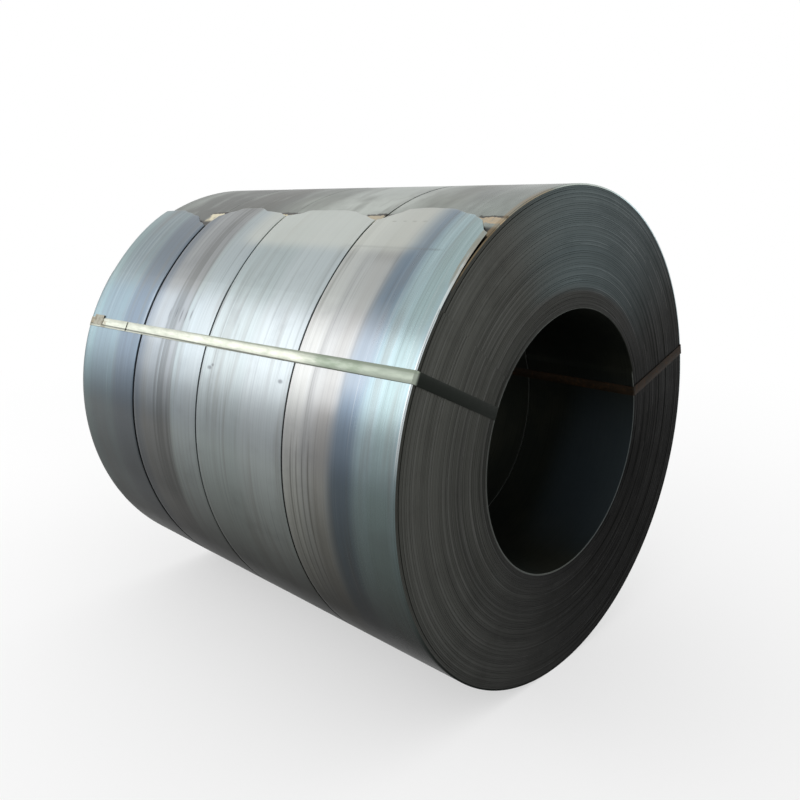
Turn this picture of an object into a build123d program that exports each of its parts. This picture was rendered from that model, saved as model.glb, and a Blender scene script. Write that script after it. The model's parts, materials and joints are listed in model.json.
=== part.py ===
"""A bundle of four slit coils of hot-rolled steel strip, lying on its side and tied through the eye.

Frame: +X runs along the coil axis towards the end that shows the eye, +Z is up, and the origin is on the
floor under the middle of the bundle. The side that carries the loose tails faces -Y.
Angles about the axis start at the -Y side and grow upwards, so 90 degrees is the top.
All lengths are in millimetres and all angles in degrees.
"""

import os
from math import asin, cos, degrees, floor, radians, sin, sqrt, tan

from build123d import *

os.makedirs("parts", exist_ok=True)

# Strip and coil
eye_diameter = 762.0
coil_diameter = 1432.0
strip_gauge = 5.0
strip_1_width = 349.0
strip_2_width = 359.0
strip_3_width = 394.0
strip_4_width = 397.1
strip_gap = 0.3

# Set-back of the outer turns, which opens the slit lines between the strips
slit_1_gap = 9.0
slit_2_gap = 4.5
slit_3_gap = 4.0
outer_end_set_back = 2.0
set_back_turns = 3

# Scatter of the other turns' edges: some touch the end plane, the rest stand back by up to the wander
edge_wander = 1.6
touching_turn_spacing = 8
first_touching_turn = 5
scatter_share = 0.5
scatter_step = 0.618034
drift_share = 0.35
drift_step = 0.37
drift_per_phase = 6.0
phase_between_coils = 0.23
phase_between_ends = 0.41

# Tail of the last turn, which springs a little off the coil and ends in a rounded tongue
tail_start_angle = 37.5
tail_length = 330.0
tail_lift = 9.0
tail_gap_opening = 0.6
tongue_length = 60.0
step_run_angle = 120.0

# Steel strapping through the eye
strap_width = 32.0
strap_gauge = 0.9
strap_clearance = 0.3
strap_eye_clearance = 0.1
strap_bend_radius = 1.0
strap_overlap = 230.0
strap_overlap_from_end = 18.0
near_strap_angle = 23.6
near_strap_skew = 0.61
far_strap_angle = 165.8
far_strap_skew = 0.0

# Crimped seals on the strapping
seal_length = 60.0
seal_wall = 1.0
seal_play = 0.2
seal_from_end = 28.0
seal_notch_width = 9.0
seal_notch_spacing = 26.0

# Values that follow from the sizes above
eye_radius = eye_diameter / 2
coil_radius = coil_diameter / 2
turn_count = max(2, round((coil_radius - eye_radius) / strip_gauge))
turn_pitch = (coil_radius - eye_radius) / turn_count
strip_widths = (strip_1_width, strip_2_width, strip_3_width, strip_4_width)
tail_radius = 1 / (1 / coil_radius - 2 * tail_lift / tail_length**2)
bundle_length = sum(strip_widths) + strip_gap * (len(strip_widths) - 1)
slit_gaps = (slit_1_gap, slit_2_gap, slit_3_gap)
trim = 1.0


def towards(angle):
    """Unit direction in the (Y, Z) plane at an angle about the coil axis."""
    return Vector(-cos(radians(angle)), sin(radians(angle)))


def along(angle):
    """Unit direction in the (Y, Z) plane along the coil's surface, the way the angle grows."""
    return Vector(sin(radians(angle)), cos(radians(angle)))


def outer_arcs():
    """Arcs of the outer surface, counted back from the start of the tail: centre, radius, first, last.

    Most of it is one circle. Two more arcs, tangent to it and to each other, carry the surface down over
    the top by the thickness of one turn, to where the tail covers it.
    """
    step_start = tail_start_angle - 360 + step_run_angle
    half_run = step_run_angle / 2
    shift = turn_pitch / 2 / (1 - cos(radians(half_run)))
    return (
        (Vector(0, 0), coil_radius, tail_start_angle, step_start),
        (towards(step_start) * shift, coil_radius - shift, step_start, step_start - half_run),
        (
            towards(tail_start_angle) * -shift,
            coil_radius - turn_pitch + shift,
            step_start - half_run,
            tail_start_angle - 360,
        ),
    )


def outer_radius(angle):
    """Distance from the coil axis to its outer surface at an angle, leaving out the tail."""
    back = (tail_start_angle - angle) % 360
    for centre, radius, first, last in outer_arcs():
        if back <= tail_start_angle - last:
            break
    reach = towards(angle).dot(centre)
    return reach + sqrt(radius**2 - centre.dot(centre) + reach**2)


axis_height = outer_radius(-90)


def on_end(point):
    """A point of the coil's cross-section, lifted from the coil axis to its place above the floor."""
    return (point.X, point.Y + axis_height)


def turn_set_back(turn, outer_set_back, phase):
    """How far one turn's edge lies inside the end plane: outer turns are set back, a few touch the plane."""
    if turn >= turn_count - set_back_turns:
        return outer_set_back
    if turn % touching_turn_spacing == first_touching_turn:
        return 0.0
    steps_taken = scatter_step * (turn + 1) + phase
    scatter = steps_taken - floor(steps_taken)
    drift = (1 + sin(drift_step * turn + drift_per_phase * phase)) / 2
    steady_share = 1 - scatter_share - drift_share
    return edge_wander * (steady_share + scatter_share * scatter + drift_share * drift)


def section_arc(centre, radius, first, last):
    """Arc of the cross-section between two angles about a centre."""
    stops = [centre + towards(angle) * radius for angle in (first, (first + last) / 2, last)]
    return ThreePointArc(*[on_end(stop) for stop in stops])


def cross_section(start_x):
    """Outline of a coil seen along its axis: its outer surface, the tail and the gap under the tail."""
    tail_centre = towards(tail_start_angle) * (coil_radius - tail_radius)
    tail_end_angle = tail_start_angle + degrees(tail_length / tail_radius)
    arcs = outer_arcs()
    covered_radius = arcs[-1][1]
    bend_change = 1 / covered_radius - 1 / (tail_radius - turn_pitch)
    gap_run = sqrt(2 * tail_gap_opening / bend_change)
    gap_on_coil = degrees(gap_run / covered_radius)
    gap_on_tail = degrees(gap_run / (tail_radius - turn_pitch))
    with BuildSketch(Plane.YZ.offset(start_x)) as section:
        with BuildLine():
            for centre, radius, first, last in arcs:
                covered = arcs[-1][1] == radius and arcs[-1][3] == last
                surface = section_arc(centre, radius, first, last + (gap_on_coil if covered else 0))
            underside = section_arc(
                tail_centre, tail_radius - turn_pitch, tail_start_angle + gap_on_tail, tail_end_angle
            )
            outside = section_arc(tail_centre, tail_radius, tail_end_angle, tail_start_angle)
            Line(surface @ 1, underside @ 0)
            Line(underside @ 1, outside @ 0)
        make_face()
        with Locations((0, axis_height)):
            Circle(eye_radius, mode=Mode.SUBTRACT)
    return section.sketch


def tongue_cutter(start_x, width):
    """Cutter that rounds the end of the tail to a tongue."""
    tail_end_angle = tail_start_angle + degrees(tail_length / tail_radius)
    tail_centre = towards(tail_start_angle) * (coil_radius - tail_radius)
    tip = tail_centre + towards(tail_end_angle) * tail_radius
    outwards = towards(tail_end_angle)
    tip_plane = Plane(
        origin=(start_x + width / 2, *on_end(tip)), x_dir=(1, 0, 0), z_dir=(0, outwards.X, outwards.Y)
    )
    half_width = width / 2 + trim
    with BuildPart() as cutter:
        with BuildSketch(tip_plane.offset(trim)):
            with BuildLine():
                corners = ((-half_width, -tongue_length), (half_width, -tongue_length))
                ThreePointArc(corners[0], (0, -trim), corners[1])
                Polyline(corners[1], (half_width, trim), (-half_width, trim), corners[0])
            make_face()
        # Deep enough to go through the tail, but not down to the turn below it
        extrude(amount=-(2 * trim + turn_pitch + tail_lift / 3))
    return cutter.part


def end_cutter(end_x, outward, outer_set_back, phase):
    """Turned cutter that trims one end of a coil to the steps of its turns."""
    far_x = end_x + 2 * trim * outward
    over_tail = 2 * tail_lift
    steps = [(far_x, axis_height + eye_radius - trim)]
    for turn in range(turn_count):
        step_x = end_x - outward * turn_set_back(turn, outer_set_back, phase)
        inner = eye_radius + turn * turn_pitch - (trim if turn == 0 else 0)
        outer = eye_radius + (turn + 1) * turn_pitch + (over_tail if turn == turn_count - 1 else 0)
        if steps[-1][0] == step_x:
            steps.pop()
        else:
            steps.append((step_x, axis_height + inner))
        steps.append((step_x, axis_height + outer))
    steps.append((far_x, steps[-1][1]))
    with BuildPart() as cutter:
        with BuildSketch(Plane.XZ) as profile:
            with BuildLine():
                Polyline(*steps, close=True)
            make_face()
        revolve(axis=Axis((0, 0, axis_height), (1, 0, 0)))
    return cutter.part


def slit_coil(start_x, width, set_backs, phase):
    """One coil of strip: a turned solid with its eye, the steps of its turns on both ends, and its tail."""
    cutters = [
        end_cutter(start_x, -1, set_backs[0], phase),
        end_cutter(start_x + width, 1, set_backs[1], phase + phase_between_ends),
        tongue_cutter(start_x, width),
    ]
    with BuildPart() as coil:
        extrude(cross_section(start_x - trim), amount=width + 2 * trim, dir=(1, 0, 0))
        for cutter in cutters:
            add(cutter, mode=Mode.SUBTRACT)
    return coil.part


def strap_plane(angle, skew):
    """Plane of a strap's loop: local x runs along the strap, local y outwards, z across its width."""
    outwards, sideways = towards(angle), along(angle)
    run = (cos(radians(skew)), sideways.X * sin(radians(skew)), sideways.Y * sin(radians(skew)))
    across = Vector(*run).cross(Vector(0, outwards.X, outwards.Y))
    return Plane(origin=(0, 0, axis_height), x_dir=run, z_dir=across)


def strap_runs(angle, skew):
    """Half length of the loop's inside, and the distances of its inner faces from the coil axis."""
    half_bundle = bundle_length / 2 + strap_clearance
    half_length = half_bundle / cos(radians(skew)) + strap_width / 2 * tan(radians(skew))
    reach = strap_width / 2 + half_length * sin(radians(skew))
    in_eye = sqrt((eye_radius - strap_eye_clearance) ** 2 - reach**2)
    outside = outer_radius(angle) + strap_clearance
    return half_length, in_eye, outside


def eye_strap(angle, skew):
    """A closed loop of steel strapping through the eye, with its free end lying doubled near the far end."""
    half_length, in_eye, outside = strap_runs(angle, skew)
    inside_height = outside - in_eye
    with BuildPart() as strap:
        with BuildSketch(strap_plane(angle, skew)) as loop:
            with Locations((0, (outside + in_eye) / 2)):
                RectangleRounded(
                    2 * (half_length + strap_gauge),
                    inside_height + 2 * strap_gauge,
                    strap_bend_radius + strap_gauge,
                )
                RectangleRounded(2 * half_length, inside_height, strap_bend_radius, mode=Mode.SUBTRACT)
            overlap_start = strap_overlap_from_end - half_length
            with Locations((overlap_start + strap_overlap / 2, outside + 1.5 * strap_gauge)):
                Rectangle(strap_overlap, strap_gauge)
        extrude(amount=strap_width / 2, both=True)
    return strap.part


def strap_seal(angle, skew):
    """A seal pressed over the doubled strapping: an inverted channel with two pairs of crimp notches."""
    half_length, in_eye, outside = strap_runs(angle, skew)
    plane = strap_plane(angle, skew)
    centre_x = seal_from_end + seal_length / 2 - half_length
    inner_width = strap_width + 2 * seal_play
    inner_height = 2 * strap_gauge + seal_play
    bottom = outside
    with BuildPart() as seal:
        with BuildSketch(plane.offset(-inner_width / 2 - seal_wall)):
            with Locations((centre_x, bottom + (inner_height + seal_wall) / 2)):
                Rectangle(seal_length, inner_height + seal_wall)
        extrude(amount=inner_width + 2 * seal_wall)
        with BuildSketch(plane.offset(-inner_width / 2)):
            with Locations((centre_x, bottom + inner_height / 2)):
                Rectangle(seal_length + 2 * trim, inner_height)
        extrude(amount=inner_width, mode=Mode.SUBTRACT)
        for side in (-1, 1):
            with BuildSketch(plane.offset(side * (inner_width / 2 + seal_wall / 2))):
                notch_x = seal_notch_spacing / 2
                with Locations(*[(centre_x + s * notch_x, bottom) for s in (-1, 1)]):
                    Rectangle(seal_notch_width, 2 * inner_height - seal_play)
            extrude(amount=seal_wall, both=True, mode=Mode.SUBTRACT)
    return seal.part


# The four slit coils, from the far end to the end that shows the eye
set_back_pairs = [
    (outer_end_set_back, slit_gaps[0] / 2),
    (slit_gaps[0] / 2, slit_gaps[1] / 2),
    (slit_gaps[1] / 2, slit_gaps[2] / 2),
    (slit_gaps[2] / 2, outer_end_set_back),
]
coil_x = -bundle_length / 2
for number, (strip_width, set_back_pair) in enumerate(zip(strip_widths, set_back_pairs), start=1):
    coil_part = slit_coil(coil_x, strip_width, set_back_pair, phase_between_coils * number)
    coil_part.label = f"slit_coil_{number}"
    export_step(coil_part, f"parts/{coil_part.label}.step")
    coil_x += strip_width + strip_gap

# The two straps through the eye and their seals
for side, strap_angle, strap_skew in (
    ("near", near_strap_angle, near_strap_skew),
    ("far", far_strap_angle, far_strap_skew),
):
    strap_part = eye_strap(strap_angle, strap_skew)
    strap_part.label = f"eye_strap_{side}"
    export_step(strap_part, f"parts/{strap_part.label}.step")
    seal_part = strap_seal(strap_angle, strap_skew)
    seal_part.label = f"strap_seal_{side}"
    export_step(seal_part, f"parts/{seal_part.label}.step")
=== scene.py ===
"""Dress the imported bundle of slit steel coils: strip, edges, tails, strapping, seals and a plain stage.

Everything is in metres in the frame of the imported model: +X along the coil axis, +Z up, -Y on the side
with the loose tails. Angles are in degrees about the axis, from the -Y side upwards: the top is 90.
"""

import json
import math

import bpy
from bpy.props import FloatProperty, FloatVectorProperty, IntProperty, PointerProperty
from mathutils import Matrix, Vector, noise


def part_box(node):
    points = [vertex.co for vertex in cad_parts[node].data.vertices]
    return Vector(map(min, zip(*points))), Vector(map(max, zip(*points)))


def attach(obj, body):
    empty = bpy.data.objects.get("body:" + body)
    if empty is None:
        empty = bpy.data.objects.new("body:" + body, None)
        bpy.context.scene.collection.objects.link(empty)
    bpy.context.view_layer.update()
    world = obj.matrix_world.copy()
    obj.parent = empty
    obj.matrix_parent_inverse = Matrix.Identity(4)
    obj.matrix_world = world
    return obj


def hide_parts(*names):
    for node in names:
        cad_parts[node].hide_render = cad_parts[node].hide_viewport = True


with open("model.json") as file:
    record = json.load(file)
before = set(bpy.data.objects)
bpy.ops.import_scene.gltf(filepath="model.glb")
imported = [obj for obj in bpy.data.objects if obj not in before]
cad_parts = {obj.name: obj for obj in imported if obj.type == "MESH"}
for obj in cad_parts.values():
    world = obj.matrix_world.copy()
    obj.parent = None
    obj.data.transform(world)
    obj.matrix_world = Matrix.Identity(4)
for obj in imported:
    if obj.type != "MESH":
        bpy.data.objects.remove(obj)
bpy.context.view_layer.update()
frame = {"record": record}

bl_info = {
    "name": "Slit Coil Bundle",
    "version": (1, 0, 0),
    "blender": (4, 5, 0),
    "location": "View3D > Sidebar > Coil Bundle",
    "description": "Dresses a bundle of slit steel coils with strip, edges, strapping and a stage",
    "category": "Object",
}

MM = 0.001
EYE = next(mount for mount in frame["record"]["mounts"] if mount["name"] == "eye")
AXIS_HEIGHT = EYE["pos_m"][2]
EYE_RADIUS = EYE["dims"]["r_mm"] * MM
COIL_NODES = ("slit_coil_1", "slit_coil_2", "slit_coil_3", "slit_coil_4")
COIL_RADIUS = -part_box("slit_coil_4")[0].y

# The outermost turns stand back from each end by half an opening and a clearance
END_OPENING = 4 * MM
LOOSE_TURNS = 3
TURN_CLEARANCE = 0.5 * MM

# Between two coils only this many turns are built; every edge wanders a little, with a groove beside it
TURNS_IN_SLITS = 7
EDGE_WANDER = 0.4 * MM
GROOVE_DEPTH = 1.8 * MM

# These slits close over the top of the coil: the angles over which they close and open again
CLOSED_SLITS = (1, 2)
CLOSING = (50.0, 60.0)
OPENING = (120.0, 150.0)
MOST_CLOSED = 0.97

# Shares of the gauge: how deep the face of the strip reaches, its rounding, and the end of the tail
SHEET_DEPTH = 0.91
TAIL_DEPTH = 0.92
CORNER_ROUNDING = 0.45
TAIL_BEVEL = 0.5

# Waves of the last turn, which fade out towards the tail, and the lips of the joints inside the eye
WAVE_HEIGHT = 0.3 * MM
WAVE_FADE = 10.0
LIP = 2 * MM
LIP_CLEARANCE = 0.3 * MM
JOINT_CLEARANCE = 0.2 * MM

# How far the strapping stands off the coil and off itself, and the share of its free end that lifts
STRAP_CLEARANCE = 0.4 * MM
DOUBLED_CLEARANCE = 0.1 * MM
LIFTED_SHARE = 0.25


def linear(code):
    """Turn an sRGB hex colour such as "8a9096" into linear RGBA."""
    channels = [int(code[i : i + 2], 16) / 255 for i in (0, 2, 4)]
    return tuple(c / 12.92 if c <= 0.04045 else ((c + 0.055) / 1.055) ** 2.4 for c in channels) + (1.0,)


def add_node(tree, kind, inputs=None, output=0, stops=(), **settings):
    """Add a shader node with its settings and links, and return one of its outputs.

    kind is the node's type without its prefix. inputs maps an input to a value, a hex colour or
    another node's output. stops fills a colour ramp.
    """
    made = tree.nodes.new("ShaderNode" + kind)
    for name, value in settings.items():
        setattr(made, name, value)
    for index, (position, colour) in enumerate(stops):
        elements = made.color_ramp.elements
        element = elements[index] if index < 2 else elements.new(position)
        element.position = position
        element.color = linear(colour)
    for name, value in (inputs or {}).items():
        if isinstance(value, bpy.types.NodeSocket):
            tree.links.new(value, made.inputs[name])
        else:
            made.inputs[name].default_value = linear(value) if isinstance(value, str) else value
    return made.outputs[output]


def new_material(name):
    """An empty node material with its Principled shader already joined to the output."""
    material = bpy.data.materials.new(name)
    material.use_nodes = True
    tree = material.node_tree
    tree.nodes.clear()
    shader = tree.nodes.new("ShaderNodeBsdfPrincipled")
    output = tree.nodes.new("ShaderNodeOutputMaterial")
    tree.links.new(shader.outputs["BSDF"], output.inputs["Surface"])
    return material, tree, shader


def coil_coordinates(tree):
    """Sockets for the place on the coil: x, height over and distance from the axis, angle, vector."""
    place = {0: add_node(tree, "TexCoord", output="Object"), 1: (0.0, 0.0, AXIS_HEIGHT)}
    centred = add_node(tree, "VectorMath", place, operation="SUBTRACT")
    parts = add_node(tree, "SeparateXYZ", {"Vector": centred}).node.outputs
    across = {0: centred, 1: (0.0, 1.0, 1.0)}
    across = add_node(tree, "VectorMath", across, operation="MULTIPLY")
    radius = add_node(tree, "VectorMath", {0: across}, "Value", operation="LENGTH")
    forward = add_node(tree, "Math", {0: parts["Y"], 1: -1.0}, operation="MULTIPLY")
    turn = add_node(tree, "Math", {0: parts["Z"], 1: forward}, operation="ARCTAN2")
    angle = add_node(tree, "Math", {0: turn, 1: 180 / math.pi}, operation="MULTIPLY")
    return {"x": parts["X"], "z": parts["Z"], "radius": radius, "angle": angle, "vector": centred}


def drawn_noise(tree, vector, grains, detail=3.0, roughness=0.6):
    """Noise drawn out unevenly: grains says how many of them lie in a metre along X, Y and Z."""
    drawn = add_node(tree, "VectorMath", {0: vector, 1: grains}, operation="MULTIPLY")
    settings = {"Vector": drawn, "Scale": 1.0, "Detail": detail, "Roughness": roughness}
    return add_node(tree, "TexNoise", settings, "Fac")


def band(tree, value, low, high, fade):
    """1 between low and high, easing to 0 over the fade on both sides."""
    sides = []
    for outer, inner in ((low - fade, low), (high + fade, high)):
        side = {"Value": value, "From Min": outer, "From Max": inner}
        sides.append(add_node(tree, "MapRange", side, interpolation_type="SMOOTHSTEP"))
    return add_node(tree, "Math", {0: sides[0], 1: sides[1]}, operation="MULTIPLY")


def facing_share(tree, at, angle):
    """1 on the side of the coil at an angle, 0 a quarter turn away and -1 on the side opposite."""
    side = {0: at["vector"], 1: tuple(towards(angle))}
    across = add_node(tree, "VectorMath", side, "Value", operation="DOT_PRODUCT")
    return add_node(tree, "Math", {0: across, 1: at["radius"]}, operation="DIVIDE")


def overlap(tree, *masks):
    """Where every one of the masks holds."""
    shared = masks[0]
    for mask in masks[1:]:
        shared = add_node(tree, "Math", {0: shared, 1: mask}, operation="MULTIPLY")
    return shared


def stretch(tree, at, **limits):
    """1 where each coordinate that is named lies in its band: low end, high end and fade."""
    return overlap(tree, *(band(tree, at[name], *limit) for name, limit in limits.items()))


def stain(tree, colour, pattern, low, high, tint, strength=1.0):
    """Lay a tint over a colour, from nothing where the pattern is at low to its strength at high."""
    amount = {"Value": pattern, "From Min": low, "From Max": high, "To Max": strength}
    amount = add_node(tree, "MapRange", amount, interpolation_type="SMOOTHSTEP")
    return add_node(tree, "Mix", {0: amount, 6: colour, 7: tint}, 2, data_type="RGBA")


def steel_finish(tree, shader, colour, grain, spread, smoothest, metallic=1.0):
    """Give a shader its colour, and a roughness that follows a grain up from its smoothest."""
    shader.inputs["Metallic"].default_value = metallic
    tree.links.new(colour, shader.inputs["Base Color"])
    gloss = {0: grain, 1: spread, 2: smoothest}
    gloss = add_node(tree, "Math", gloss, operation="MULTIPLY_ADD")
    tree.links.new(gloss, shader.inputs["Roughness"])


def spots(tree, at, places):
    """Distance to the nearest of some small marks: 0 in a mark's middle, 1 at its rim.

    places lists x, angle, and half the mark's size along x and in degrees.
    """
    place = add_node(tree, "CombineXYZ", {"X": at["x"], "Y": at["angle"]})
    nearest = None
    for x, angle, half_x, half_angle in places:
        away = {0: place, 1: (x, angle, 0.0)}
        away = add_node(tree, "VectorMath", away, operation="SUBTRACT")
        away = {0: away, 1: (1 / half_x, 1 / half_angle, 0.0)}
        away = add_node(tree, "VectorMath", away, operation="MULTIPLY")
        away = add_node(tree, "VectorMath", {0: away}, "Value", operation="LENGTH")
        if nearest is None:
            nearest = away
        else:
            nearest = add_node(tree, "Math", {0: nearest, 1: away}, operation="MINIMUM")
    return nearest


def temper_tints(tree, at):
    """Colour of the rolled faces across the strips: soft bands of blue, teal and straw temper tint."""
    # The bands' edges wander by a centimetre along the turn, and the blue one of the last strip leans
    wander = drawn_noise(tree, at["vector"], (5.0, 2.0, 2.0), detail=2.0)
    wander = {0: wander, 1: 0.022, 2: -0.011}
    place = add_node(tree, "Math", wander, operation="MULTIPLY_ADD")
    place = add_node(tree, "Math", {0: at["x"], 1: place}, operation="ADD")
    lean = {"Value": at["angle"], "From Min": -40.0, "From Max": 28.0, "To Min": 0.03, "To Max": 0.0}
    from_back = {"Value": at["angle"], "From Min": -180.0, "From Max": -90.0}
    lean, from_back = (add_node(tree, "MapRange", limits) for limits in (lean, from_back))
    lean = overlap(tree, lean, from_back, stretch(tree, at, x=(0.45, 0.66, 0.05)))
    place = add_node(tree, "Math", {0: place, 1: lean}, operation="ADD")

    colour = "a4afb0"
    for low, high, fade, tint, strength in (
        # Second strip: warm grey, clearing to a pale blue edge
        (-0.399, -0.215, 0.060, "929596", 1.0),
        (-0.150, -0.060, 0.030, "a3adb0", 0.9),
        # Far strip: grey-blue, teal at its outer edge and slate blue towards the slit
        (-0.800, -0.405, 0.003, "819196", 1.0),
        (-0.655, -0.605, 0.040, "7e8c92", 0.8),
        (-0.760, -0.715, 0.030, "8a9ea0", 0.8),
        (-0.500, -0.400, 0.080, "6b7580", 0.85),
        # Third strip: pale, paler towards the last slit
        (0.210, 0.353, 0.090, "aeb7b9", 0.8),
        # Last strip: straw grey, pale teal by the mill edge, and between them a soft blue band
        (0.355, 0.800, 0.004, "b2b5b2", 1.0),
        (0.450, 0.530, 0.050, "a3a6a5", 0.9),
        (0.620, 0.800, 0.060, "9bb0b4", 1.0),
        (0.690, 0.720, 0.030, "93a7a7", 0.7),
        (0.510, 0.545, 0.060, "8d8c88", 0.55),
        (0.580, 0.588, 0.072, "70808e", 0.98),
    ):
        colour = stain(tree, colour, band(tree, place, low, high, fade), 0.0, 1.0, tint, strength)
    return colour


def mill_streaks(tree, at, colour):
    """Streaks in the rolling direction, some 2, 9 and 35 mm wide, and clouds of thicker scale."""
    fine = drawn_noise(tree, at["vector"], (480.0, 2.6, 2.6), detail=2.0, roughness=0.7)
    middling = drawn_noise(tree, at["vector"], (110.0, 1.4, 1.4), detail=2.0)
    broad = drawn_noise(tree, at["vector"], (26.0, 1.8, 1.8), detail=2.0)
    clouds = drawn_noise(tree, at["vector"], (8.0, 9.0, 9.0), detail=4.0)
    for pattern, low, high, tint, strength in (
        (fine, 0.40, 0.75, "5c5f60", 0.16),
        (middling, 0.52, 0.76, "5d5f5e", 0.32),
        (middling, 0.45, 0.25, "c3cacc", 0.20),
        (broad, 0.50, 0.74, "7b7a75", 0.42),
        (clouds, 0.50, 0.78, "73777a", 0.24),
    ):
        colour = stain(tree, colour, pattern, low, high, tint, strength)

    # A bundle of worn streaks on the second strip
    worn = drawn_noise(tree, at["vector"], (75.0, 0.9, 0.9), detail=2.0)
    worn = overlap(tree, worn, stretch(tree, at, x=(-0.270, -0.195, 0.035)))
    colour = stain(tree, colour, worn, 0.36, 0.58, "6a6c6b", 0.62)

    # Scratches that guides left on the last strip: thin dark lines on its lower half
    spacing = 22.5 * MM
    comb = add_node(tree, "Math", {0: at["x"], 1: math.tau / spacing}, operation="MULTIPLY")
    comb = add_node(tree, "Math", {0: comb}, operation="SINE")
    zone = stretch(tree, at, x=(0.372, 0.470, 0.008), angle=(-50.0, 0.0, 22.0))
    uneven = band(tree, middling, 0.30, 0.90, 0.20)
    colour = stain(tree, colour, overlap(tree, comb, zone, uneven), 0.50, 1.0, "4c4a45", 0.48)
    return colour, fine, clouds


def handling_marks(tree, at, colour):
    """Short dark scuffs and dents from handling, and a faint bend mark across the last tail."""
    scuffs = (
        (-0.280, 28.0, 0.0035, 1.7),
        (-0.245, 28.6, 0.0030, 1.6),
        (-0.215, 28.0, 0.0040, 1.9),
        (-0.190, 28.2, 0.0035, 1.6),
        (-0.165, 28.6, 0.0040, 1.5),
        (0.000, 17.6, 0.0120, 0.5),
        (0.012, 18.3, 0.0070, 0.4),
        (0.315, 18.2, 0.0110, 0.5),
    )
    colour = stain(tree, colour, spots(tree, at, scuffs), 1.3, 0.3, "54565a", 0.62)
    dents = (
        (0.430, 58.3, 0.0090, 0.26),
        (0.466, 58.4, 0.0070, 0.22),
        (0.500, 58.4, 0.0080, 0.26),
        (0.534, 58.5, 0.0090, 0.22),
        (-0.560, 71.0, 0.0060, 0.8),
    )
    colour = stain(tree, colour, spots(tree, at, dents), 1.3, 0.4, "2f2a22", 0.8)
    bend_mark = stretch(tree, at, angle=(50.3, 50.5, 0.35), x=(0.36, 0.63, 0.05))
    return stain(tree, colour, bend_mark, 0.0, 1.0, "6d7274", 0.35)


def tail_and_turn_below(tree, at, colour):
    """The pale ends of the tails, and the duller turn they leave bare, with yellow patches and painted
    shadow lines at the corners.
    """
    # Near their ends the tails are whiter and lose their blue
    pale = stretch(tree, at, angle=(52.5, 70.0, 6.0), x=(-0.05, 0.50, 0.14))
    colour = stain(tree, colour, pale, 0.0, 1.0, "c6c9c1", 0.62)

    # The turn below lies a gauge deeper than the tails, and is clouded and dull over the top
    wobble = drawn_noise(tree, at["vector"], (20.0, 24.0, 24.0), detail=4.0, roughness=0.7)
    wobbled = []
    for value, swing in ((at["x"], 0.05), (at["angle"], 3.0)):
        shift = {0: wobble, 1: swing, 2: -swing / 2}
        shift = add_node(tree, "Math", shift, operation="MULTIPLY_ADD")
        wobbled.append(add_node(tree, "Math", {0: value, 1: shift}, operation="ADD"))
    x, angle = wobbled
    below = stretch(tree, at, angle=(46.0, 150.0, 4.0), radius=(0.600, 0.7138, 0.0008))
    top = overlap(tree, below, band(tree, angle, 50.5, 88.0, 38.0))
    dull = stain(tree, "7c817a", band(tree, x, -0.58, -0.20, 0.16), 0.0, 1.0, "565751", 0.95)
    dull = stain(tree, dull, band(tree, x, 0.16, 0.32, 0.16), 0.0, 1.0, "b8beb8", 0.95)
    drift = drawn_noise(tree, at["vector"], (6.0, 7.0, 7.0), detail=4.0)
    blotches = drawn_noise(tree, at["vector"], (17.0, 6.0, 6.0), detail=3.0, roughness=0.5)
    dull = stain(tree, dull, drift, 0.46, 0.70, "6b6f6a", 0.50)
    dull = stain(tree, dull, blotches, 0.46, 0.76, "5b5e57", 0.62)
    dull = stain(tree, dull, blotches, 0.54, 0.24, "a3aaa3", 0.55)
    colour = stain(tree, colour, top, 0.0, 1.0, dull, 0.90)

    # Where a corner of a tail is cut back, the bare turn is yellow in patches, up to a painted shadow
    # line
    mottle = drawn_noise(tree, at["vector"], (40.0, 60.0, 60.0), detail=3.0)
    for low, high, foot, tint in (
        (-0.460, -0.366, 56.5, "e3dabb"),
        (-0.100, 0.006, 57.0, "d8cba4"),
        (0.284, 0.394, 58.0, "b5a88e"),
        (0.672, 0.790, 60.0, "b6a284"),
    ):
        corner = overlap(tree, below, band(tree, x, low, high, 0.012))
        patch = overlap(tree, corner, band(tree, angle, foot, 61.9, 0.6), mottle)
        colour = stain(tree, colour, patch, 0.20, 0.54, tint, 0.92)
        corner_shadow_line = overlap(tree, corner, band(tree, angle, 62.3, 62.7, 0.5))
        colour = stain(tree, colour, corner_shadow_line, 0.2, 1.0, "2a241c", 0.9)

    # Between the tail and the turn below, scale and shadow leave the steel almost black
    covered = stretch(tree, at, radius=(0.70, 0.7125, 0.0005), angle=(37.0, 57.5, 2.0))
    return stain(tree, colour, covered, 0.0, 1.0, "141412", 0.97)


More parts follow.
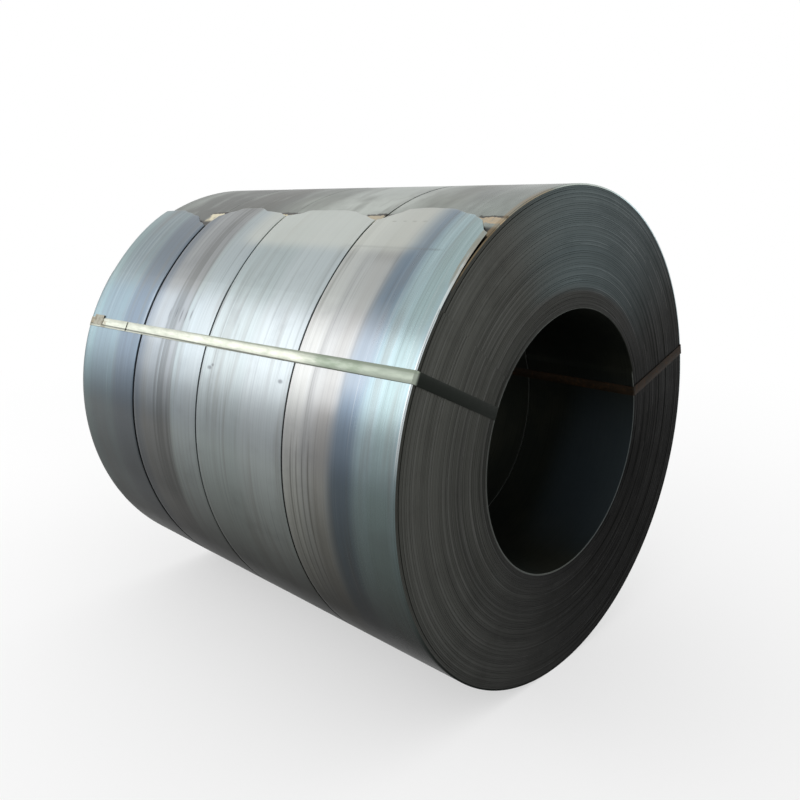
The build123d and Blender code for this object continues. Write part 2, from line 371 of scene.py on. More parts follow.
def hot_rolled_strip():
    """Hot-rolled strip, its faces under thin mill scale polished by the rolls.

    To the eye: a dull metallic grey with soft bands of temper tint along the strip, faint streaks in
    the rolling direction, a broad soft sheen on the upper side that is partly painted highlight and
    painted cool reflection, and brown-grey painted shade lower down.
    """
    material, tree, shader = new_material("hot_rolled_strip")
    at = coil_coordinates(tree)
    colour = temper_tints(tree, at)
    colour, fine, clouds = mill_streaks(tree, at, colour)
    colour = handling_marks(tree, at, colour)

    # Painted highlights where the window light falls on the second and the last strip, and a painted
    # bright line on the rounded corner of the last strip's mill edge
    for low, high, side_fade, bottom, top, fade, tint, strength in (
        (0.558, 0.600, 0.028, 24.0, 31.0, 10.0, "b6bcbf", 0.28),
        (-0.395, -0.300, 0.045, 24.0, 31.0, 6.0, "cdcdcc", 0.16),
        (0.465, 0.525, 0.030, 18.0, 44.0, 6.0, "c4c8c7", 0.26),
        (0.7440, 0.7485, 0.0012, 14.0, 44.0, 12.0, "f4f4f2", 0.42),
    ):
        painted_highlight = stretch(tree, at, x=(low, high, side_fade), angle=(bottom, top, fade))
        colour = stain(tree, colour, painted_highlight, 0.0, 1.0, tint, strength)
    colour = tail_and_turn_below(tree, at, colour)

    # Painted shade on the lower side: the further down, the darker and the warmer
    whole_height = {"Value": at["z"], "From Min": -COIL_RADIUS, "From Max": COIL_RADIUS}
    height = add_node(tree, "MapRange", whole_height)
    shades = (
        (0.000, "3a3934"),
        (0.150, "3f3e38"),
        (0.228, "4f4d46"),
        (0.320, "807e78"),
        (0.413, "a1a09b"),
        (0.500, "bfbebb"),
        (0.549, "cacac9"),
        (0.604, "e0e0e0"),
        (0.675, "ffffff"),
    )
    underside_shade = add_node(tree, "ValToRGB", {"Fac": height}, stops=shades)
    colour = add_node(tree, "VectorMath", {0: colour, 1: underside_shade}, operation="MULTIPLY")
    # Painted shade, darker still low down on the last strip and on the first two strips
    for low, high, bottom, top, strength in (
        (0.555, 0.80, -0.80, -0.02, 0.40),
        (-0.80, -0.20, -0.16, -0.01, 0.38),
    ):
        painted_lower_shade = stretch(tree, at, x=(low, high, 0.05), z=(bottom, top, 0.16))
        colour = stain(tree, colour, painted_lower_shade, 0.0, 1.0, "1b1c1c", strength)

    # A painted cool reflection about the height of the near strap: bluish on the far strips, greyer on
    # the near ones
    bluer, greyer = (0.92, 0.98, 1.05, 1.0), (0.965, 0.945, 0.965, 1.0)
    cool_reflection = stain(tree, bluer, at["x"], -0.28, -0.08, greyer)
    cool_reflection = stain(tree, "ffffff", stretch(tree, at, angle=(7.0, 30.0, 9.0)), 0.0, 1.0, cool_reflection)
    colour = add_node(tree, "VectorMath", {0: colour, 1: cool_reflection}, operation="MULTIPLY")

    # Rust along the mill edge of the last strip, beside its tail
    rust = drawn_noise(tree, at["vector"], (90.0, 20.0, 20.0), detail=4.0)
    edge = overlap(tree, rust, stretch(tree, at, x=(0.7385, 0.760, 0.010), angle=(47.0, 75.0, 9.0)))
    colour = stain(tree, colour, edge, 0.15, 0.60, "8c7a5e", 0.60)

    # Smoother on the last strip, towards its mill edge
    smoother = {"Value": at["x"], "From Min": 0.48, "From Max": 0.60, "To Min": 0.27, "To Max": 0.21}
    base = add_node(tree, "MapRange", smoother)
    base = add_node(tree, "Math", {0: clouds, 1: 0.08, 2: base}, operation="MULTIPLY_ADD")
    steel_finish(tree, shader, colour, fine, 0.06, base)

    # Painted shade on the reflection: at a low angle the sheet mirrors fully in between, less on the
    # lower side and on the top
    shaded_reflection_stops = (
        (0.000, "b4b4b4"),
        (0.228, "bcbcbc"),
        (0.320, "d5d5d5"),
        (0.413, "e7e7e7"),
        (0.500, "ffffff"),
        (0.930, "ffffff"),
        (0.975, "ededed"),
        (1.000, "e0e0e0"),
    )
    shaded_reflection = add_node(tree, "ValToRGB", {"Fac": height}, stops=shaded_reflection_stops)
    tree.links.new(shaded_reflection, shader.inputs["Specular Tint"])

    # Shallow waves in the sheet, 125 to 200 mm long, with the finest streaks on them
    ripple = drawn_noise(tree, at["vector"], (5.0, 8.0, 8.0), detail=1.0)
    relief = add_node(tree, "Math", {0: ripple, 1: 8.0, 2: fine}, operation="MULTIPLY_ADD")
    bump = add_node(tree, "Bump", {"Strength": 0.22, "Distance": 0.0003, "Height": relief})
    tree.links.new(bump, shader.inputs["Normal"])
    return material


def slit_edges():
    """The strip's edges seen side by side: slit steel dulled by scale, grime and light oxidation.

    To the eye: charcoal rings, one per turn, that differ a little in tone, bluish over the top and
    nearly black low down.
    """
    material, tree, shader = new_material("slit_edges")
    at = coil_coordinates(tree)

    # Tones change from turn to turn, 5 mm apart, and in groups of turns about 25 mm wide
    ring = add_node(tree, "CombineXYZ", {"X": at["radius"]})
    along = {0: at["vector"], 1: (0.0, 0.012, 0.012)}
    spread = add_node(tree, "VectorMath", along, operation="MULTIPLY")
    ring = add_node(tree, "VectorMath", {0: ring, 1: spread}, operation="ADD")
    turn_tone = drawn_noise(tree, ring, (210.0, 120.0, 120.0), detail=2.0, roughness=0.7)
    group_tone = drawn_noise(tree, ring, (42.0, 60.0, 60.0), detail=2.0)
    grime = drawn_noise(tree, at["vector"], (9.0, 9.0, 9.0), detail=5.0, roughness=0.65)

    # Darker at the eye and again by the rim, lighter between
    colour = "222320"
    for pattern, low, high, tint, strength in (
        (at["radius"], 0.385, 0.46, "393a36", 1.0),
        (at["radius"], 0.46, 0.66, "474844", 1.0),
        (at["radius"], 0.67, 0.71, "3a3b37", 1.0),
        (turn_tone, 0.35, 0.75, "5a5b57", 0.34),
        (turn_tone, 0.45, 0.25, "232321", 0.40),
        (group_tone, 0.45, 0.75, "2a2a28", 0.38),
        (grime, 0.50, 0.80, "30302c", 0.35),
    ):
        colour = stain(tree, colour, pattern, low, high, tint, strength)
    # A painted bluish sheen over the top of the end face, on the far side
    sheen = overlap(tree, facing_share(tree, at, 106.0), stretch(tree, at, radius=(0.46, 0.72, 0.09)))
    colour = stain(tree, colour, sheen, 0.66, 1.0, "56686c", 0.50)

    # Painted shade: light high on the side with the tails, near black opposite, in a steady fade across
    share = facing_share(tree, at, 35.0)
    level = {"Value": share, "From Min": -1.0, "From Max": 1.25, "To Min": 0.05, "To Max": 1.03}
    level = add_node(tree, "MapRange", level, interpolation_type="SMOOTHSTEP")
    colour = add_node(tree, "VectorMath", {0: colour, "Scale": level}, operation="SCALE")
    # A painted highlight on the rounded edge of the eye
    eye_rim_highlight = band(tree, at["radius"], EYE_RADIUS, EYE_RADIUS + 3 * MM, 2 * MM)
    colour = stain(tree, colour, eye_rim_highlight, 0.0, 1.0, "7d827e", 0.45)

    steel_finish(tree, shader, colour, grime, 0.2, 0.42)
    # Painted shade on the reflection as well, dimmer on the far side
    shaded_far_reflection = {"Value": share, "From Min": -1.0, "From Max": 0.1, "To Min": 0.68}
    tree.links.new(add_node(tree, "MapRange", shaded_far_reflection), shader.inputs["Specular Tint"])
    bump = add_node(tree, "Bump", {"Strength": 0.15, "Distance": 0.0004, "Height": turn_tone})
    tree.links.new(bump, shader.inputs["Normal"])
    return material


def eye_scale_and_shade():
    """The strip's face inside the eye: dark mill scale painted near black as shade, dusty, with a weak
    painted blue sheen low down.
    """
    material, tree, shader = new_material("eye_scale_and_shade")
    at = coil_coordinates(tree)
    fine = drawn_noise(tree, at["vector"], (300.0, 3.0, 3.0), detail=2.0)
    clouds = drawn_noise(tree, at["vector"], (5.0, 5.0, 5.0), detail=3.0)
    # Painted shade: the face in the eye is near black all through, with dusty clouds
    colour = stain(tree, "2a2e29", clouds, 0.35, 0.70, "35372f")
    colour = stain(tree, colour, fine, 0.45, 0.75, "20211f", 0.4)
    # A weak bluish sheen painted low on the far side, towards the end at +X
    low_far_sheen = facing_share(tree, at, -148.0)
    low_far_sheen = overlap(tree, low_far_sheen, stretch(tree, at, x=(0.62, 0.80, 0.36)))
    colour = stain(tree, colour, low_far_sheen, 0.55, 1.0, "434e56", 0.65)
    # A painted highlight along the rounded lip at each joint between coils
    for joint in (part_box(node)[0].x for node in COIL_NODES[1:]):
        lip = stretch(tree, at, x=(joint - 1.5 * MM, joint + 1.5 * MM, MM))
        colour = stain(tree, colour, lip, 0.0, 1.0, "5d625f", 0.8)
    steel_finish(tree, shader, colour, fine, 0.2, 0.46)
    return material


def zinc_strapping():
    """Zinc-coated flat steel strapping: pale, slightly yellow-green, scuffed, with dull patches."""
    material, tree, shader = new_material("zinc_strapping")
    at = coil_coordinates(tree)
    scuffs = drawn_noise(tree, at["vector"], (16.0, 70.0, 70.0), detail=5.0, roughness=0.7)
    clouds = drawn_noise(tree, at["vector"], (7.0, 20.0, 20.0), detail=3.0)
    colour = stain(tree, "c6c9bd", scuffs, 0.35, 0.70, "acb1a5", 0.8)
    colour = stain(tree, colour, clouds, 0.55, 0.75, "97a192", 0.45)
    colour = stain(tree, colour, stretch(tree, at, x=(0.50, 0.80, 0.16)), 0.0, 1.0, "848f83", 0.75)
    green = overlap(tree, scuffs, stretch(tree, at, x=(0.44, 0.57, 0.05)))
    colour = stain(tree, colour, green, 0.30, 0.60, "7d8a78", 0.6)
    brown = overlap(tree, scuffs, stretch(tree, at, x=(-0.80, -0.650, 0.05)))
    colour = stain(tree, colour, brown, 0.35, 0.60, "6f5c3e", 0.75)

    # A painted shadow line along the lower edge of the slanting strap, and its upper edge green near the
    # end
    level = {0: at["x"], 1: -0.85, 2: at["angle"]}
    level = add_node(tree, "Math", level, operation="MULTIPLY_ADD")
    lower_edge_shadow = band(tree, level, 22.20, 22.45, 0.12)
    colour = stain(tree, colour, lower_edge_shadow, 0.0, 1.0, "4e5149", 0.75)
    upper_edge = band(tree, level, 24.50, 25.0, 0.25)
    upper_edge = overlap(tree, upper_edge, stretch(tree, at, x=(0.0, 0.80, 0.30)))
    colour = stain(tree, colour, upper_edge, 0.0, 1.0, "838d7d", 0.60)

    # Painted shade: the runs over the ends and in the eye are near black and mirror less than the outside
    # run
    shaded_inward_runs = (at["radius"], 0.712, 0.700)
    colour = stain(tree, colour, *shaded_inward_runs, "1d201d", 0.995)
    shaded_reflection = stain(tree, "ffffff", *shaded_inward_runs, "dadada")
    tree.links.new(shaded_reflection, shader.inputs["Specular Tint"])
    steel_finish(tree, shader, colour, scuffs, 0.3, 0.28)
    return material


def rusty_strapping():
    """Plain steel strapping with a skin of orange-brown rust, dull and slightly grainy."""
    material, tree, shader = new_material("rusty_strapping")
    at = coil_coordinates(tree)
    grain = drawn_noise(tree, at["vector"], (90.0, 90.0, 90.0), detail=5.0, roughness=0.7)
    clouds = drawn_noise(tree, at["vector"], (12.0, 25.0, 25.0), detail=4.0)
    colour = stain(tree, "241a10", clouds, 0.35, 0.65, "19130b")
    colour = stain(tree, colour, grain, 0.50, 0.75, "4a2f15", 0.6)
    # Painted shade: the runs over the ends and in the eye stay near black, the outside run is a lighter
    # rust brown
    outside_run = stain(tree, "4d3922", clouds, 0.35, 0.65, "38291a")
    colour = stain(tree, colour, at["radius"], 0.713, 0.7155, outside_run)
    shader.inputs["Specular IOR Level"].default_value = 0.1
    steel_finish(tree, shader, colour, grain, 0.25, 0.5, metallic=0.0)
    bump = add_node(tree, "Bump", {"Strength": 0.4, "Distance": 0.0004, "Height": grain})
    tree.links.new(bump, shader.inputs["Normal"])
    return material


def pressed_seal():
    """Pressed steel seal, zinc gone dull, stained brown in the crimps."""
    material, tree, shader = new_material("pressed_seal")
    at = coil_coordinates(tree)
    stains = drawn_noise(tree, at["vector"], (60.0, 60.0, 60.0), detail=4.0)
    colour = stain(tree, "918f83", stains, 0.42, 0.70, "726a5c", 0.8)
    steel_finish(tree, shader, colour, stains, 0.3, 0.35)
    return material


def shown_as_background(tree):
    """1 for the camera's rays and for what metal mirrors, 0 for the light that falls on the object."""
    path = add_node(tree, "LightPath").node.outputs
    seen = path["Is Camera Ray"]
    for kind in ("Is Glossy Ray", "Is Transmission Ray"):
        seen = add_node(tree, "Math", {0: seen, 1: path[kind]}, operation="MAXIMUM")
    return seen


def studio_floor(colour, white_share):
    """Matt pale studio floor: only the soft shadow of the bundle, fading into a white background."""
    material, tree, shader = new_material("studio_floor")
    shader.inputs["Base Color"].default_value = tuple(colour) + (1.0,)
    shader.inputs["Roughness"].default_value = 0.9
    shader.inputs["Specular IOR Level"].default_value = 0.1
    place = add_node(tree, "TexCoord", output="Object")
    away = add_node(tree, "VectorMath", {0: place}, "Value", operation="LENGTH")
    share = {"Value": away, "From Min": 1.6, "From Max": 5.0, "To Min": white_share, "To Max": 1.0}
    share = add_node(tree, "MapRange", share, interpolation_type="SMOOTHSTEP")
    amount = overlap(tree, shown_as_background(tree), share)
    white = add_node(tree, "Emission", {"Color": (1.0, 1.0, 1.0, 1.0), "Strength": 1.0})
    blend = add_node(tree, "MixShader", {0: amount, 1: shader.outputs["BSDF"], 2: white})
    output = next(node for node in tree.nodes if node.type == "OUTPUT_MATERIAL")
    tree.links.new(blend, output.inputs["Surface"])
    return material


def on_coil(x, angle, radius):
    """A point at an angle in degrees and a distance from the coil axis."""
    turn = math.radians(angle)
    return Vector((x, -radius * math.cos(turn), AXIS_HEIGHT + radius * math.sin(turn)))


def towards(angle):
    """Unit vector away from the axis at an angle."""
    return Vector((0.0, -math.cos(math.radians(angle)), math.sin(math.radians(angle))))


def ease(share):
    """Smooth step from 0 to 1."""
    share = min(1.0, max(0.0, share))
    return share * share * (3 - 2 * share)


def new_piece(name, grid, materials, sharp_angle):
    """Make a smooth mesh object that rides on the root body, with edges over an angle kept sharp."""
    mesh = bpy.data.meshes.new(name)
    mesh.from_pydata(grid.points, [], grid.faces)
    for material in materials:
        mesh.materials.append(material)
    mesh.polygons.foreach_set("material_index", grid.slots)
    mesh.polygons.foreach_set("use_smooth", [True] * len(mesh.polygons))
    mesh.update()
    mesh.set_sharp_from_angle(angle=math.radians(sharp_angle))
    piece = bpy.data.objects.new(name, mesh)
    bpy.context.scene.collection.objects.link(piece)
    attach(piece, "root")
    return piece


class Grid:
    """Collects rows of points and joins neighbouring rows with quads."""

    def __init__(self):
        self.points = []
        self.faces = []
        self.slots = []

    def add(self, rows, slot=0, flip=False):
        """Add a block of rows of one length, with a material slot for its faces."""
        start = len(self.points)
        width = len(rows[0])
        for row in rows:
            self.points.extend(row)
        for r in range(len(rows) - 1):
            for c in range(width - 1):
                low = start + r * width + c
                corners = (low, low + 1, low + width + 1, low + width)
                self.faces.append(corners[::-1] if flip else corners)
                self.slots.append(slot)


def outer_radius(sizes, angle):
    """Outer surface of the last turn, which comes down by one gauge to where the tail covers it."""
    climb = 360 - sizes.step_run
    gone = ease((sizes.tail_start - angle - climb) / sizes.step_run)
    return COIL_RADIUS - sizes.strip_gauge * gone


def turn_line(sizes, line, angle):
    """Radius of the line between two turns, which comes down by one gauge like the outer surface."""
    return EYE_RADIUS + sizes.strip_gauge * line - (COIL_RADIUS - outer_radius(sizes, angle))


def count_turns(sizes):
    """Number of turns between the eye and the outside."""
    return round((COIL_RADIUS - EYE_RADIUS) / sizes.strip_gauge)


def inner_step(sizes):
    """Angle where the step that the strip's inner end leaves in the eye is over."""
    return sizes.tail_start - 360 + sizes.step_run


def eye_radius(sizes, angle):
    """Radius of the eye: up to the step's end it runs along the second turn."""
    return EYE_RADIUS if angle >= inner_step(sizes) else turn_line(sizes, 1, angle)


def slit_closed(joint, angle):
    """How far a slit is closed at an angle: 0 where it is open, 1 over the top of the coil."""
    if joint not in CLOSED_SLITS:
        return 0.0
    above = angle % 360
    shut = ease((above - CLOSING[0]) / (CLOSING[1] - CLOSING[0]))
    return shut * ease((OPENING[1] - above) / (OPENING[1] - OPENING[0]))


def slit_opening(sizes, joint, angle):
    """Half the gap between the outer turns at a joint."""
    gap = (END_OPENING, sizes.slit_1, sizes.slit_2, sizes.slit_3, END_OPENING)[joint]
    return gap / 2 * (1 - MOST_CLOSED * slit_closed(joint, angle))


def edge_set_back(line, seed):
    """How far one inner turn's edge lies inside the end plane, in slow waves and a scatter."""
    wave = 0.5 + 0.5 * noise.noise(Vector((line * 0.23, seed * 3.7, 0.5)))
    scatter = 0.5 + 0.5 * noise.noise(Vector((line * 1.37, seed * 7.1, 0.0)))
    least, from_wave, from_scatter = 0.1, 0.9, 0.7
    return (least + from_wave * wave + from_scatter * scatter) * MM


def end_rows(sizes, angles, end_x, outward, first_line, joint):
    """Rows of points over one end face: for each turn a groove, then its flat edge."""
    rows = []
    gauge = sizes.strip_gauge
    turns = count_turns(sizes)
    narrowest, widening = 0.03, 0.10
    for line in range(first_line, turns):
        loose = 0.5 + 0.5 * noise.noise(Vector((line * 0.61, joint * 2.3, 4.0)))
        groove = (narrowest + widening * loose) * gauge
        for offset, depth in ((0.0, GROOVE_DEPTH * loose**2), (groove, 0.0), (gauge - groove, 0.0)):
            row = []
            for angle in angles:
                if line >= turns - LOOSE_TURNS:
                    back = slit_opening(sizes, joint, angle) + TURN_CLEARANCE
                else:
                    back = edge_set_back(line, joint)
                back += EDGE_WANDER * noise.noise(Vector((line * 0.9, joint, angle / 40.0)))
                radius = turn_line(sizes, line, angle) + offset
                if line == 0 and angle < inner_step(sizes):
                    radius = eye_radius(sizes, angle)
                row.append(on_coil(end_x - outward * (back + depth), angle, radius))
            rows.append(row)
    return rows


# How many millimetres each tail is cut back at shares of its width, from its far edge
TAIL_OUTLINES = (
    ((0.00, 26), (0.33, 24), (0.48, 38), (0.69, 56), (0.90, 92), (1.00, 106)),
    ((0.00, 88), (0.05, 50), (0.20, 28), (0.29, 8), (0.54, 6), (0.71, 26), (0.88, 32), (1.00, 46)),
    ((0.00, 46), (0.15, 36), (0.22, 18), (0.59, 17), (0.70, 22), (0.83, 40), (1.00, 60)),
    ((0.00, 60), (0.15, 30), (0.21, 6), (0.37, 0), (0.55, 4), (0.78, 31), (0.86, 48), (1.00, 100)),
)


def tail_reach(sizes, index, share):
    """Length of one tail at a share of its width."""
    outline = TAIL_OUTLINES[index]
    for (low, low_cut), (high, high_cut) in zip(outline, outline[1:]):
        if share <= high:
            break
    blend = ease((share - low) / (high - low))
    return sizes.tail_length - (low_cut + (high_cut - low_cut) * blend) * MM


def tail_point(sizes, x, run, drop, corner):
    """A point on the tail, run metres along it and drop metres under its outer surface.

    The tail springs off the coil, and the corners of its end bend back towards it.
    """
    share = run / sizes.tail_length
    lift = sizes.tail_lift * ease(share) - sizes.corner_droop * corner * share**4
    return on_coil(x, sizes.tail_start + math.degrees(run / COIL_RADIUS), COIL_RADIUS + lift - drop)


def strip_profile(sizes, left, right, closed=(0.0, 0.0)):
    """Section of the strip's outer half from one edge to the other: share of the width, x and drop.

    closed says how far each edge is pressed against the next strip, which takes up its rounding.
    """
    gauge = sizes.strip_gauge
    width = right - left
    first, last = (CORNER_ROUNDING * gauge * (1 - MOST_CLOSED * share) for share in closed)
    edges = []
    for corner in (first, last):
        inset = 0.3 * corner
        edges.append([(0.0, SHEET_DEPTH * gauge), (0.0, corner), (inset, inset), (corner, 0.0)])
    flat = (width - first - last) / sizes.columns
    middle = [(first + flat * i, 0.0) for i in range(1, sizes.columns)]
    across = edges[0] + middle + [(width - side, drop) for side, drop in reversed(edges[1])]
    return [(side / width, left + side, drop) for side, drop in across]


def build_slit_coil(sizes, index, materials):
    """One slit coil: both ends with their turns, the eye, the last turn's face and its tail."""
    name = COIL_NODES[index]
    low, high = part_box(name)
    gauge = sizes.strip_gauge
    start = sizes.tail_start
    faces = sizes.angle_steps
    angles = [start - 360 + 360 * i / faces for i in range(faces + 1)]
    grid = Grid()

    # End faces: full detail on the two outer ends, and only the outer turns where coils stand together
    for joint, end_x, outward in ((index, low.x, -1), (index + 1, high.x, 1)):
        shown = joint in (0, len(COIL_NODES))
        first_line = 0 if shown else count_turns(sizes) - TURNS_IN_SLITS
        rows = end_rows(sizes, angles, end_x, outward, first_line, joint)
        if not shown:
            x = end_x - outward * JOINT_CLEARANCE
            rows.insert(0, [on_coil(x, angle, eye_radius(sizes, angle)) for angle in angles])
        grid.add(rows, slot=1, flip=outward > 0)

    # The eye, from end to end, with a rounded lip where it meets the next coil
    bore_rows = []
    for x, lip in (
        (low.x + LIP_CLEARANCE, LIP),
        (low.x + LIP, 0.0),
        ((low.x + high.x) / 2, 0.0),
        (high.x - LIP, 0.0),
        (high.x - LIP_CLEARANCE, LIP),
    ):
        bore_rows.append([on_coil(x, angle, eye_radius(sizes, angle) + lip) for angle in angles])
    grid.add(bore_rows, slot=2)

    # Face of the last turn and its mill edges, from under the tail once round to the start of the tail
    sheet = []
    for angle in angles:
        left = low.x + slit_opening(sizes, index, angle)
        right = high.x - slit_opening(sizes, index + 1, angle)
        from_tail = min(abs(angle - start), abs(angle - start + 360))
        height = WAVE_HEIGHT * min(1.0, from_tail / WAVE_FADE)
        closed = (slit_closed(index, angle), slit_closed(index + 1, angle))
        row = []
        for share, x, drop in strip_profile(sizes, left, right, closed):
            wave = noise.noise(Vector((x * 5.0, index * 3.0, angle / 14.0))) - 1
            wave = 0.0 if drop else height * wave
            row.append(on_coil(x, angle, outer_radius(sizes, angle) - drop + wave))
        sheet.append(row)
    grid.add(sheet, slot=0, flip=True)

    # The tail: its outer face, its edges, the rounded top of its sheared end, and its underside
    left = low.x + slit_opening(sizes, index, start)
    right = high.x - slit_opening(sizes, index + 1, start)
    profile = strip_profile(sizes, left, right)
    steps = sizes.tail_steps
    bevel = TAIL_BEVEL * gauge
    bent_corner = 0.4
    stops = [(i / steps, 0.0, 0.0) for i in range(steps)]
    stops += [(1.0, -bevel, 0.0), (1.0, -0.3 * bevel, 0.3 * bevel), (1.0, 0.0, bevel)]
    outside, underside = [], []
    for along, short, drop_more in stops:
        top_row, under_row = [], []
        for share, x, drop in profile:
            run = tail_reach(sizes, index, share) * along + short
            x -= sizes.tail_narrowing * (share - 0.5) * along
            corner = max(0.0, abs(2 * share - 1) - (1 - bent_corner)) / bent_corner
            top_row.append(tail_point(sizes, x, run, max(drop, drop_more), corner))
            under_row.append(tail_point(sizes, x, run, gauge * TAIL_DEPTH, corner))
        outside.append(top_row)
        underside.append(under_row)
    grid.add(outside, slot=0, flip=True)
    grid.add(underside, slot=0)
    grid.add([outside[-1], underside[-1]], slot=1, flip=True)
    piece = new_piece(f"{name}_dressed", grid, materials, sharp_angle=40.0)
    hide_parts(name)
    return piece


def strap_path(corners, bend, steps=6):
    """Closed path through the corners in order, each rounded: pairs of a point and its normal."""
    path = []
    for i, corner in enumerate(corners):
        before = (corners[i - 1] - corner).normalized()
        after = (corners[(i + 1) % len(corners)] - corner).normalized()
        middle = (before + after).normalized()
        half = math.acos(max(-1.0, min(1.0, before.dot(after)))) / 2
        hub = corner + middle * (bend / math.sin(half))
        reach = bend / math.tan(half)
        first = (corner + before * reach - hub).normalized()
        last = (corner + after * reach - hub).normalized()
        for step in range(steps + 1):
            normal = first.slerp(last, step / steps)
            path.append((hub + normal * bend, normal))
    return path


def strap_section(sizes, point, normal, across):
    """The strapping's flat section with rounded edges: a closed row of points over one point."""
    half = sizes.width / 2
    gauge = sizes.gauge
    soft = 0.4 * gauge
    section = ((-half, soft), (-half + soft, 0.0), (half - soft, 0.0), (half, soft))
    section += tuple((-side, gauge - lift) for side, lift in section)
    row = [point + across * side + normal * lift for side, lift in section]
    return row + row[:1]


def build_strap(name, node, sizes, corners, material):
    """One strap: its closed loop through four corners, and its free end doubled on the outside run."""
    run = (corners[1] - corners[0]).normalized()
    out = (corners[0] - corners[3]).normalized()
    across = run.cross(out).normalized()
    path = strap_path(corners, sizes.bend)
    grid = Grid()
    grid.add([strap_section(sizes, point, normal, across) for point, normal in path + path[:1]])

    # The free end starts near the far corner, lies on the run and lifts a little at its cut end
    normal = (out - run * out.dot(run)).normalized()
    doubled = []
    for i in range(sizes.overlap_steps + 1):
        share = i / sizes.overlap_steps
        away = sizes.overlap_from_end + sizes.overlap * share
        lift = sizes.end_lift * ease((share - 1 + LIFTED_SHARE) / LIFTED_SHARE)
        lift += sizes.gauge + DOUBLED_CLEARANCE
        doubled.append(strap_section(sizes, corners[1] - run * away + normal * lift, normal, across))
    grid.add(doubled, flip=True)
    for row, flip in ((doubled[0], False), (doubled[-1], True)):
        grid.add([row[:4], row[7:3:-1]], flip=flip)
    piece = new_piece(name, grid, [material], sharp_angle=50.0)
    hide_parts(node)
    return piece


def number(name, description, default, **more):
    """A property for a number."""
    return FloatProperty(name=name, description=description, default=default, **more)


def length(name, description, default, **more):
    """A property for a length in metres."""
    return number(name, description, default, unit="LENGTH", **more)


def count(name, description, default, low, high):
    """A property for a number of faces."""
    return IntProperty(name=name, description=description, default=default, min=low, max=high)


class SlitCoilSizes(bpy.types.PropertyGroup):
    """Sizes of the winding and its tails."""

    strip_gauge: length("Strip gauge", "Thickness of the strip", 0.005, min=0.001)
    slit_1: length("First slit", "Opening between the first two coils", 0.009)
    slit_2: length("Second slit", "Opening between the middle coils", 0.0045)
    slit_3: length("Third slit", "Opening between the last two coils", 0.004)
    tail_start: number("Tail start", "Angle in degrees where the last turn leaves the coil", 37.5)
    tail_length: length("Tail length", "Length of the loose tail", 0.330)
    tail_lift: length("Tail lift", "How far the tail's end stands off the coil", 0.0095)
    tail_narrowing: length("Tail narrowing", "How much narrower a tail's end is", 0.0035, precision=4)
    corner_droop: length("Corner droop", "How far the corners of the tail's end bend back", 0.0025)
    step_run: number("Step run", "Angle in degrees over which the surface comes down", 120.0)
    angle_steps: count("Steps round the coil", "Faces round one turn", 240, 48, 480)
    tail_steps: count("Steps along the tail", "Faces along the loose tail", 30, 8, 120)
    columns: count("Columns across", "Faces across the strip's width", 30, 4, 80)


class StrapSizes(bpy.types.PropertyGroup):
    """Sizes of the strapping."""

    width: length("Width", "Width of the strapping", 0.032)
    gauge: length("Gauge", "Thickness of the strapping", 0.0009, precision=4)
    bend: length("Bend radius", "Bend over the coil's edges", 0.004)
    overlap: length("Overlap", "Length of the doubled free end", 0.230)
    overlap_from_end: length("Overlap from end", "From the far corner to the doubled end", 0.018)
    end_lift: length("End lift", "How far the cut end stands off the strap", 0.0012, precision=4)
    overlap_steps: count("Overlap steps", "Faces along the doubled end", 16, 4, 64)


class StageLook(bpy.types.PropertyGroup):
    """Floor colour and light levels."""

    floor_colour: FloatVectorProperty(
        name="Floor colour",
        description="Linear colour of the floor",
        default=(0.90, 0.90, 0.90),
        size=3,
        subtype="COLOR",
        min=0.0,
        max=1.0,
    )
    floor_white: number("White share", "Share of white seen on the floor", 0.55, min=0.0, max=1.0)
    window_power: number("Window light", "Power of the large soft light", 65.0, unit="POWER")
    rim_power: number("Rim light", "Power of the light from the far right", 20.0, unit="POWER")
    sky_level: number("Sky level", "Strength of the even light", 0.95)


class COIL_OT_dress_slit_coils(bpy.types.Operator):
    """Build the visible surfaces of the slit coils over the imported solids"""

    bl_idname = "coil.dress_slit_coils"
    bl_label = "Dress Slit Coils"

    def execute(self, context):
        sizes = context.scene.slit_coil_sizes
        materials = [hot_rolled_strip(), slit_edges(), eye_scale_and_shade()]
        for index in range(len(COIL_NODES)):
            build_slit_coil(sizes, index, materials)
        return {"FINISHED"}


class COIL_OT_dress_straps(bpy.types.Operator):
    """Build the strapping that runs through the eye"""

    bl_idname = "coil.dress_straps"
    bl_label = "Dress Straps"

    def execute(self, context):
        sizes = context.scene.strap_sizes
        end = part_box("slit_coil_4")[1].x + STRAP_CLEARANCE
        outside = COIL_RADIUS + STRAP_CLEARANCE
        inside = EYE_RADIUS - STRAP_CLEARANCE
        near = ("strap_near_dressed", "eye_strap_near", zinc_strapping, "strap_steel")
        far = ("strap_far_dressed", "eye_strap_far", rusty_strapping, "strap_steel_rusty")

        # Each strap's angle at the near end, at the far end and in the eye
        for (name, node, build, slot_name), angles in (
            (near, (24.35, 22.35, 23.8)),
            (far, (165.2, 165.6, 166.6)),
        ):
            corners = [
                on_coil(end, angles[0], outside),
                on_coil(-end, angles[1], outside),
                on_coil(-end, angles[2], inside),
                on_coil(end, angles[2], inside),
            ]
            build_strap(name, node, sizes, corners, build())
        return {"FINISHED"}


class COIL_OT_finish_seals(bpy.types.Operator):
    """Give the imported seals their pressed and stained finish"""

    bl_idname = "coil.finish_seals"
    bl_label = "Finish Seals"

    def execute(self, context):
        material = pressed_seal()
        for node in ("strap_seal_near", "strap_seal_far"):
            seal = bpy.data.objects.get(node)
            if seal is None:
                raise RuntimeError(f"the packed model has no {node}")
            if not seal.material_slots:
                seal.data.materials.append(material)
            for slot in seal.material_slots:
                slot.material = material
        return {"FINISHED"}


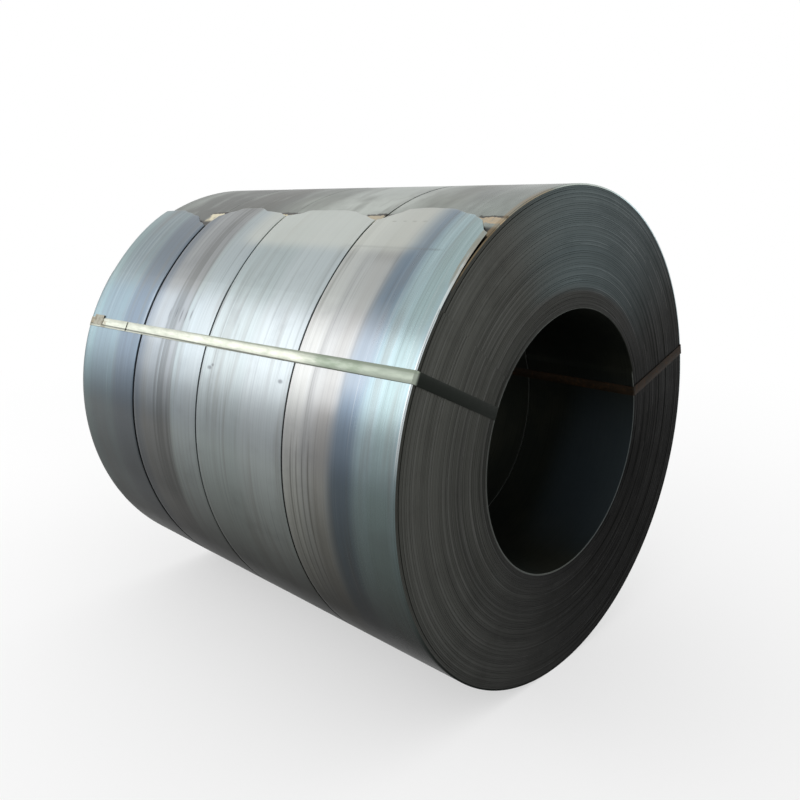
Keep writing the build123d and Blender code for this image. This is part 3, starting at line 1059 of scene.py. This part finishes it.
class COIL_OT_build_stage(bpy.types.Operator):
    """Set the pale floor, the soft lights and the camera"""

    bl_idname = "coil.build_stage"
    bl_label = "Build Stage"

    def execute(self, context):
        look = context.scene.stage_look
        scene = context.scene

        mesh = bpy.data.meshes.new("floor")
        reach = 60.0
        sides = ((-reach, -reach), (reach, -reach), (reach, reach), (-reach, reach))
        mesh.from_pydata([(x, y, 0.0) for x, y in sides], [], [(0, 1, 2, 3)])
        mesh.materials.append(studio_floor(look.floor_colour, look.floor_white))
        floor = bpy.data.objects.new("floor", mesh)
        scene.collection.objects.link(floor)

        world = bpy.data.worlds.new("plain_sky")
        world.use_nodes = True
        tree = world.node_tree
        tree.nodes.clear()
        strength = {"Value": shown_as_background(tree), "To Min": look.sky_level}
        strength = add_node(tree, "MapRange", strength)
        white = {"Color": (1.0, 1.0, 1.0, 1.0), "Strength": strength}
        background = add_node(tree, "Background", white)
        output = tree.nodes.new("ShaderNodeOutputWorld")
        tree.links.new(background, output.inputs["Surface"])
        scene.world = world

        # The window light leans, higher at its right-hand end, so that the sheen runs level on the coil
        self.add_area(
            scene,
            "window_light",
            look.window_power,
            size=(4.2, 2.85),
            place=(-3.22, -3.65, 2.69),
            target=(0.0, -0.6, 1.0),
            along=(1.30, -2.05, 0.95),
        )
        self.add_area(
            scene,
            "rim_light",
            look.rim_power,
            size=(2.0, 2.0),
            place=(2.6, 5.0, 2.6),
            target=(0.0, 0.0, 0.8),
            along=(1.0, -0.5, 0.0),
        )

        lens = bpy.data.cameras.new("photo_view")
        lens.sensor_width = 36.0
        lens.lens = 35.15
        camera = bpy.data.objects.new("photo_view", lens)
        camera.location = (1.864, -1.870, 1.371)
        looking_down, turned_left = 13.96, 43.53
        camera.rotation_euler = (math.radians(90 - looking_down), 0.0, math.radians(turned_left))
        scene.collection.objects.link(camera)
        scene.camera = camera
        scene.view_settings.view_transform = "Standard"
        return {"FINISHED"}

    @staticmethod
    def add_area(scene, name, power, size, place, target, along):
        """Add a rectangular soft light that faces a target, its width running near a direction."""
        data = bpy.data.lights.new(name, "AREA")
        data.shape = "RECTANGLE"
        data.size, data.size_y = size
        data.energy = power
        backwards = (Vector(place) - Vector(target)).normalized()
        upwards = backwards.cross(Vector(along)).normalized()
        sideways = upwards.cross(backwards)
        light = bpy.data.objects.new(name, data)
        facing = Matrix((sideways, upwards, backwards)).transposed().to_4x4()
        light.matrix_world = Matrix.Translation(place) @ facing
        light.visible_camera = False
        scene.collection.objects.link(light)


class COIL_PT_bundle(bpy.types.Panel):
    """Lists the steps that dress the bundle"""

    bl_idname = "COIL_PT_bundle"
    bl_label = "Slit Coil Bundle"
    bl_space_type = "VIEW_3D"
    bl_region_type = "UI"
    bl_category = "Coil Bundle"

    def draw(self, context):
        layout = self.layout
        for group, _ in GROUPS:
            box = layout.box()
            holder = getattr(context.scene, group)
            for prop in holder.bl_rna.properties:
                if prop.identifier not in {"rna_type", "name"}:
                    box.prop(holder, prop.identifier)
        for operator in STEPS:
            layout.operator(operator.bl_idname)


STEPS = (COIL_OT_dress_slit_coils, COIL_OT_dress_straps, COIL_OT_finish_seals, COIL_OT_build_stage)
GROUPS = (
    ("slit_coil_sizes", SlitCoilSizes),
    ("strap_sizes", StrapSizes),
    ("stage_look", StageLook),
)


def register():
    for name, group in GROUPS:
        bpy.utils.register_class(group)
        setattr(bpy.types.Scene, name, PointerProperty(type=group))
    for operator in STEPS:
        bpy.utils.register_class(operator)
    bpy.utils.register_class(COIL_PT_bundle)


def unregister():
    bpy.utils.unregister_class(COIL_PT_bundle)
    for operator in reversed(STEPS):
        bpy.utils.unregister_class(operator)
    for name, group in reversed(GROUPS):
        delattr(bpy.types.Scene, name)
        bpy.utils.unregister_class(group)


def main():
    """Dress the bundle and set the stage."""
    register()
    bpy.ops.coil.dress_slit_coils()
    bpy.ops.coil.dress_straps()
    bpy.ops.coil.finish_seals()
    bpy.ops.coil.build_stage()


if __name__ == "__main__":
    main()
